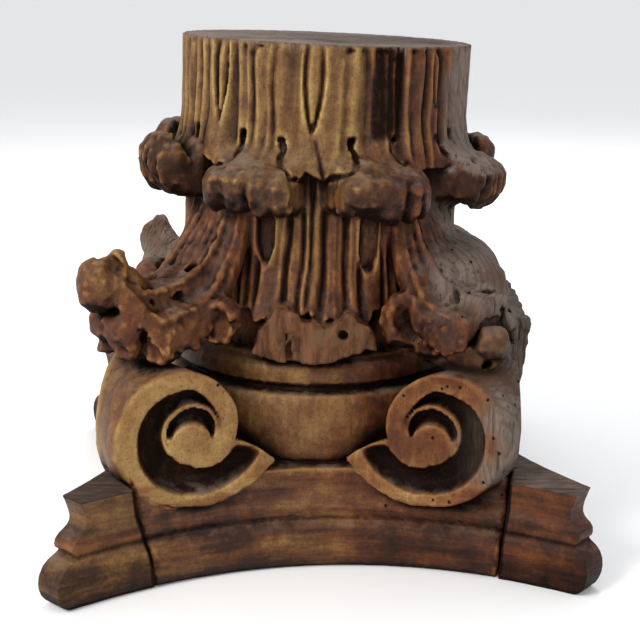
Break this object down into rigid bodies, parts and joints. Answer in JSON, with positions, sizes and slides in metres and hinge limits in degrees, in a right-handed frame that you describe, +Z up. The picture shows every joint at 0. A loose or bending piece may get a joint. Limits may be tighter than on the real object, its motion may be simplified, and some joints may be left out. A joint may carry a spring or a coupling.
{
  "type": "carved column capital base",
  "caption": "Carved and gilded wooden capital of composite order, standing upside down on its hollow-sided abacus, with curled leaves, corner volutes and a worn, broken surface.",
  "frame": {"origin": "on the ground at the middle of the abacus's underside", "axes": "+Z up out of the ground, the carved front faces -Y, +X to the right seen from the front"},
  "size_m": [0.3352, 0.3352, 0.3037],
  "materials": {
    "worn_gilding": "worn dark gilding over red-brown bole, raw grey wood where it was left uncarved",
    "horn_wood": "worn dark gilding on the mouldings, bare grey wood on top"
  },
  "bodies": {
    "root": {"carved_block": "worn_gilding", "horn_front_left": "horn_wood", "horn_front_right": "horn_wood", "horn_back_left": "horn_wood", "horn_back_right": "horn_wood"}
  },
  "joints": []
}
